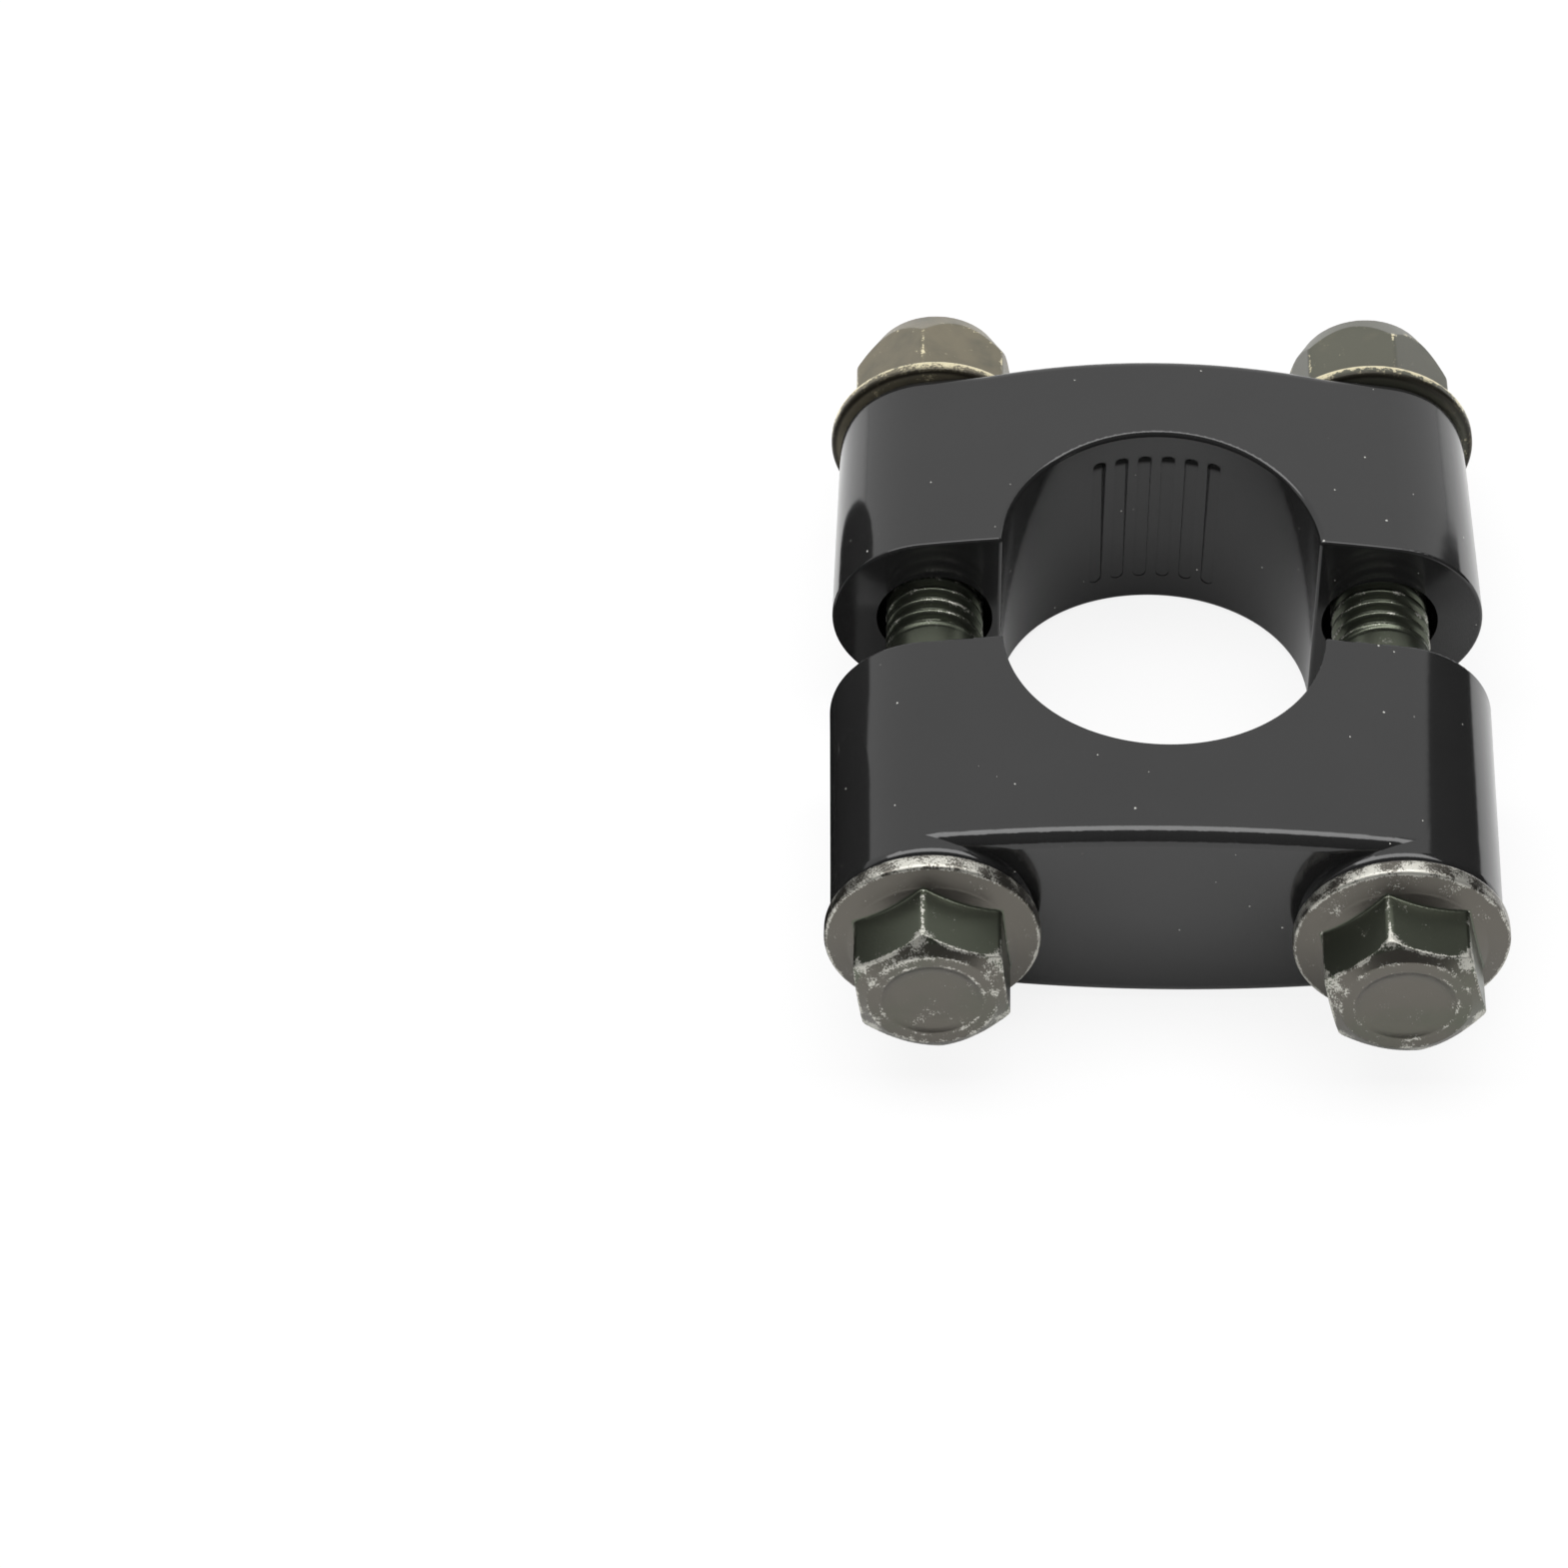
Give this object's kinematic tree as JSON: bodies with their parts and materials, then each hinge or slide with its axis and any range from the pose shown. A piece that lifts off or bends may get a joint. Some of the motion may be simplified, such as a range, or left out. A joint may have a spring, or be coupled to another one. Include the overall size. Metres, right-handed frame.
{
  "type": "handlebar riser clamp",
  "caption": "Two-piece clamp for a round motorcycle handlebar, drawn together by hex flange bolts and nuts beside its saddles.",
  "frame": {"origin": "on the axis of the handlebar in the base half's saddle, at mid thickness, midway between the two bolts", "axes": "+Z along the handlebar, up as the clamp lies on its side; +Y from the bolt heads towards the nuts; +X to the right as seen from the bolt heads"},
  "size_m": [0.0534, 0.0727, 0.0188],
  "materials": {
    "black_paint": "gloss black paint over a cast body",
    "bolt_steel": "dark olive chromate over zinc, worn bright on the edges",
    "nut_steel": "olive chromate over zinc, worn to brass on the rim"
  },
  "bodies": {
    "base": {"base_half": "black_paint"},
    "cap": {"cap_half": "black_paint", "nut_left": "nut_steel", "nut_right": "nut_steel"},
    "left_bolt": {"bolt_left": "bolt_steel"},
    "right_bolt": {"bolt_right": "bolt_steel"}
  },
  "joints": [
    {"name": "bolt_left_turn", "type": "hinge", "parent": "base", "child": "left_bolt", "pos_m": [-0.018, 0, 0], "axis": [0, 1, 0], "range_deg": [0, 3030]},
    {"name": "bolt_right_turn", "type": "hinge", "parent": "base", "child": "right_bolt", "pos_m": [0.018, 0, 0], "axis": [0, 1, 0], "range_deg": [0, 3030]},
    {"name": "cap_slide", "type": "slide", "parent": "base", "child": "cap", "axis": [0, -1, 0], "range_m": [0, 0.0105]}
  ],
  "couplings": [
    {"joint": "bolt_left_turn", "follows": "cap_slide", "rad_per_m": 5026.5},
    {"joint": "bolt_right_turn", "follows": "cap_slide", "rad_per_m": 5026.5}
  ]
}
